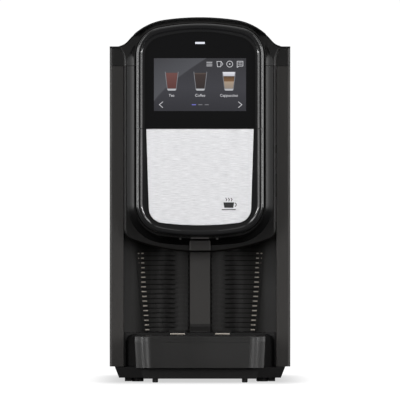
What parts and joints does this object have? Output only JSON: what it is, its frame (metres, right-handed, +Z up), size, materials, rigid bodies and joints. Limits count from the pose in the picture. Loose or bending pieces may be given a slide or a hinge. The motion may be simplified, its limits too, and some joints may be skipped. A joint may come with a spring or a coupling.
{
  "type": "hot drink machine",
  "caption": "Countertop hot drink machine with a touch display over a steel-faced tilting pack door, a louvred cup bay, a drip tray and a rear water tank.",
  "frame": {"origin": "on the counter, under the middle of the machine's bounding box", "axes": "+Z up, +X to the machine's right as its front is seen, -Y towards the user"},
  "size_m": [0.221, 0.396, 0.445],
  "materials": {
    "housing_grey": "fine texture",
    "lid_black": "gloss",
    "shroud_grey": "fine texture",
    "liner_grey": "satin",
    "bezel_gloss": "gloss",
    "touch_glass": "polished",
    "panel_steel": "brushed",
    "tray_black": "satin",
    "trim_grey": "satin",
    "light_guide": "diffusing",
    "inner_plastic": "satin",
    "white_plastic": "satin",
    "tank_clear": "clear, smoke tint",
    "rubber_black": "matte",
    "silicone": "translucent",
    "galvanised": "galvanised",
    "stainless": "polished",
    "zinc_screw": "black zinc",
    "board_green": "solder mask",
    "motor_metal": "plated",
    "pump_body": "moulded",
    "brass_valve": "machined",
    "acetal_white": "moulded",
    "rocker_black": "satin"
  },
  "bodies": {
    "housing": {"base_pan": "housing_grey", "rubber_feet": "rubber_black", "side_panel_left": "housing_grey", "side_panel_right": "housing_grey", "top_cover": "housing_grey", "front_shroud": "shroud_grey", "lid_hinge_pins": "inner_plastic", "rear_panel": "housing_grey", "rear_screws": "zinc_screw", "tray_bay": "liner_grey", "recess_liner": "liner_grey", "display_bezel": "bezel_gloss", "touch_glass": "touch_glass", "status_light_bar": "light_guide", "lcd_module": "motor_metal", "display_board": "board_green", "door_hinge_pins": "stainless", "nozzle_frame": "inner_plastic", "nozzle_guide_rods": "stainless", "nozzle_motor": "motor_metal", "cup_light_lens": "light_guide", "cup_sensor_lenses": "light_guide", "nozzle_housing": "shroud_grey", "tank_dock": "white_plastic", "dock_seal": "silicone", "tank_shelf": "galvanised", "inner_deck": "inner_plastic", "chassis_bulkhead": "galvanised", "boiler": "stainless", "boiler_bracket": "galvanised", "thermal_cutouts": "motor_metal", "water_pump": "pump_body", "pump_mounts": "rubber_black", "air_pump": "pump_body", "flow_meter": "acetal_white", "solenoid_valves": "brass_valve", "main_board": "board_green", "power_supply": "galvanised", "suction_tube": "silicone", "pressure_tube": "silicone", "brew_tube": "silicone", "air_tube": "silicone", "power_inlet": "inner_plastic", "switch_housing": "inner_plastic"},
    "lid": {"top_lid": "lid_black"},
    "pack_door": {"door_frame": "bezel_gloss", "door_steel_panel": "panel_steel", "door_inner_cover": "inner_plastic", "pack_holder": "white_plastic"},
    "tank": {"water_tank": "tank_clear", "tank_outlet_fitting": "white_plastic"},
    "tray": {"drip_tray": "tray_black"},
    "grate": {"drip_grate": "tray_black"},
    "needle_carriage": {"nozzle_carriage": "acetal_white", "nozzle_needle": "stainless"},
    "needle_gear": {"nozzle_pinion": "acetal_white"},
    "rocker": {"rocker_switch": "rocker_black"}
  },
  "joints": [
    {"name": "lid_hinge", "type": "hinge", "parent": "housing", "child": "lid", "pos_m": [0, 0.194, 0.406], "axis": [-1, 0, 0], "range_deg": [0, 75]},
    {"name": "door_hinge", "type": "hinge", "parent": "housing", "child": "pack_door", "pos_m": [0, -0.15, 0.1861], "axis": [1, 0, 0], "range_deg": [0, 20]},
    {"name": "tank_slide", "type": "slide", "parent": "housing", "child": "tank", "axis": [0, 1, 0], "range_m": [0, 0.1]},
    {"name": "tray_slide", "type": "slide", "parent": "housing", "child": "tray", "axis": [0, -1, 0], "range_m": [0, 0.12]},
    {"name": "grate_lift", "type": "slide", "parent": "tray", "child": "grate", "axis": [0, 0, 1], "range_m": [0, 0.03]},
    {"name": "needle_slide", "type": "slide", "parent": "housing", "child": "needle_carriage", "axis": [0, 0, -1], "range_m": [0, 0.012]},
    {"name": "needle_gear_spin", "type": "hinge", "parent": "housing", "child": "needle_gear", "pos_m": [0.0292, -0.163, 0.3308], "axis": [0, -1, 0], "range_deg": [0, 97]},
    {"name": "rocker_hinge", "type": "hinge", "parent": "housing", "child": "rocker", "pos_m": [0.052, 0.1845, 0.046], "axis": [1, 0, 0], "range_deg": [-8, 8]}
  ],
  "couplings": [
    {"joint": "needle_gear_spin", "follows": "needle_slide", "rad_per_m": 138.89}
  ]
}
